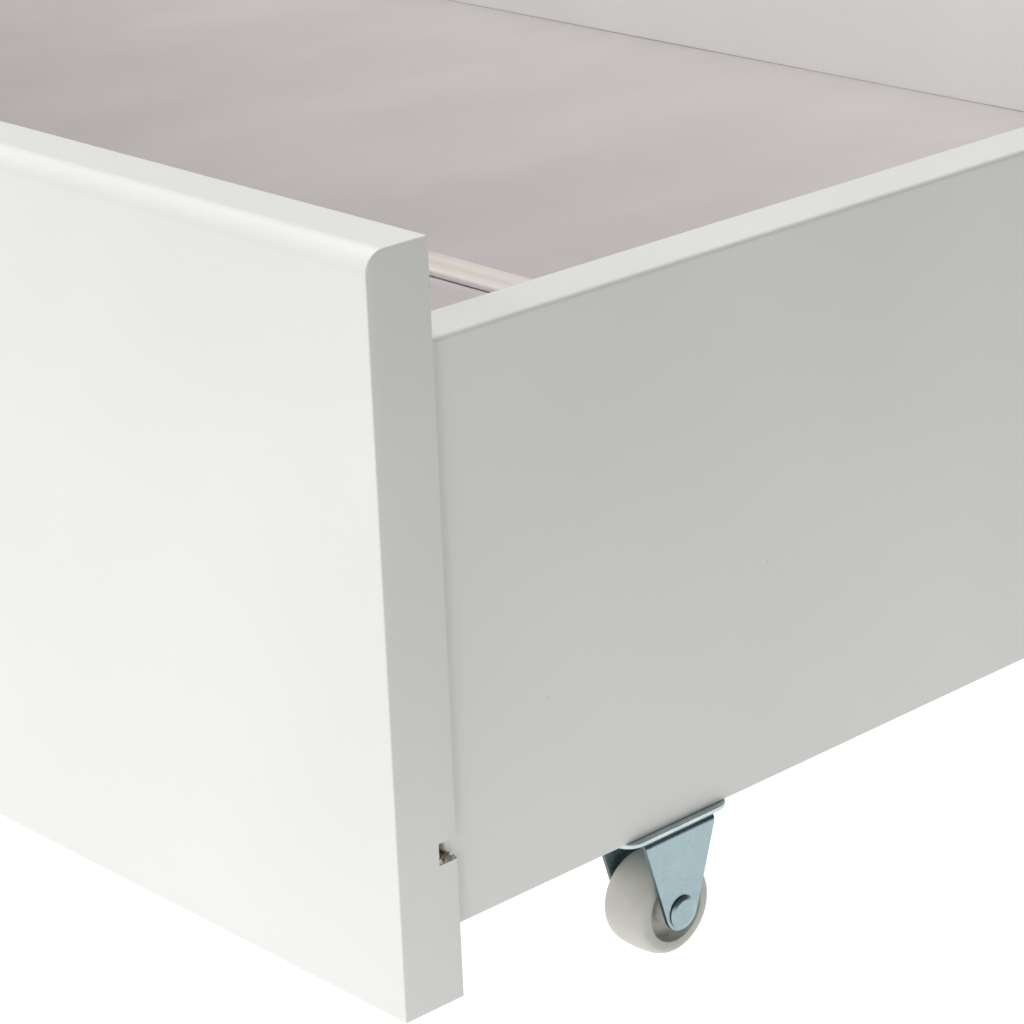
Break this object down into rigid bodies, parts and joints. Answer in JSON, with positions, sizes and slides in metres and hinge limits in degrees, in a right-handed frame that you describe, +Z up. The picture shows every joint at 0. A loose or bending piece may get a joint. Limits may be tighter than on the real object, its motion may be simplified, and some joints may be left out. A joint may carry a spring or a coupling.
{
  "type": "rolling under-bed frame",
  "caption": "Low open wooden box with a tall front panel, a thin bottom and fixed casters, that rolls under a bed and holds a mattress or bedding.",
  "frame": {"origin": "on the floor under the middle of the box", "axes": "+X along the front panel, +Y from the front panel to the back panel, +Z up"},
  "size_m": [1.97, 0.8, 0.2555],
  "materials": {
    "white_paint": "satin white paint",
    "grey_board": "semi-gloss grey-pink lacquer on thin fibreboard",
    "raw_pine": "planed, unpainted",
    "beech": "raw, fluted",
    "zinc_steel": "bright zinc plate",
    "zinc_casting": "raw zinc casting",
    "wheel_nylon": "moulded, light grey"
  },
  "bodies": {
    "box": {"front_panel": "white_paint", "back_panel": "white_paint", "side_panel_right": "white_paint", "side_panel_left": "white_paint", "bottom_board_front": "grey_board", "bottom_board_rear": "grey_board", "joint_strip": "raw_pine", "centre_bearer": "raw_pine", "caster_screws": "zinc_steel", "angle_brackets": "zinc_steel", "angle_screws": "zinc_steel", "cam_discs": "zinc_casting", "cam_bolts": "zinc_steel", "dowels": "beech", "caster_plate_front_right": "zinc_steel", "caster_fork_front_right": "zinc_steel", "caster_axle_front_right": "zinc_steel", "caster_plate_front_centre": "zinc_steel", "caster_fork_front_centre": "zinc_steel", "caster_axle_front_centre": "zinc_steel", "caster_plate_front_left": "zinc_steel", "caster_fork_front_left": "zinc_steel", "caster_axle_front_left": "zinc_steel", "caster_plate_rear_right": "zinc_steel", "caster_fork_rear_right": "zinc_steel", "caster_axle_rear_right": "zinc_steel", "caster_plate_rear_centre": "zinc_steel", "caster_fork_rear_centre": "zinc_steel", "caster_axle_rear_centre": "zinc_steel", "caster_plate_rear_left": "zinc_steel", "caster_fork_rear_left": "zinc_steel", "caster_axle_rear_left": "zinc_steel"},
    "wheel_front_right": {"caster_wheel_front_right": "wheel_nylon"},
    "wheel_front_centre": {"caster_wheel_front_centre": "wheel_nylon"},
    "wheel_front_left": {"caster_wheel_front_left": "wheel_nylon"},
    "wheel_rear_right": {"caster_wheel_rear_right": "wheel_nylon"},
    "wheel_rear_centre": {"caster_wheel_rear_centre": "wheel_nylon"},
    "wheel_rear_left": {"caster_wheel_rear_left": "wheel_nylon"}
  },
  "joints": [
    {"name": "wheel_front_right_spin", "type": "hinge", "parent": "box", "child": "wheel_front_right", "pos_m": [0.972, -0.2846, 0.016], "axis": [1, 0, 0], "continuous": true},
    {"name": "wheel_front_centre_spin", "type": "hinge", "parent": "box", "child": "wheel_front_centre", "pos_m": [0, -0.2846, 0.016], "axis": [1, 0, 0], "continuous": true},
    {"name": "wheel_front_left_spin", "type": "hinge", "parent": "box", "child": "wheel_front_left", "pos_m": [-0.972, -0.2846, 0.016], "axis": [1, 0, 0], "continuous": true},
    {"name": "wheel_rear_right_spin", "type": "hinge", "parent": "box", "child": "wheel_rear_right", "pos_m": [0.972, 0.2846, 0.016], "axis": [1, 0, 0], "continuous": true},
    {"name": "wheel_rear_centre_spin", "type": "hinge", "parent": "box", "child": "wheel_rear_centre", "pos_m": [0, 0.2846, 0.016], "axis": [1, 0, 0], "continuous": true},
    {"name": "wheel_rear_left_spin", "type": "hinge", "parent": "box", "child": "wheel_rear_left", "pos_m": [-0.972, 0.2846, 0.016], "axis": [1, 0, 0], "continuous": true}
  ]
}
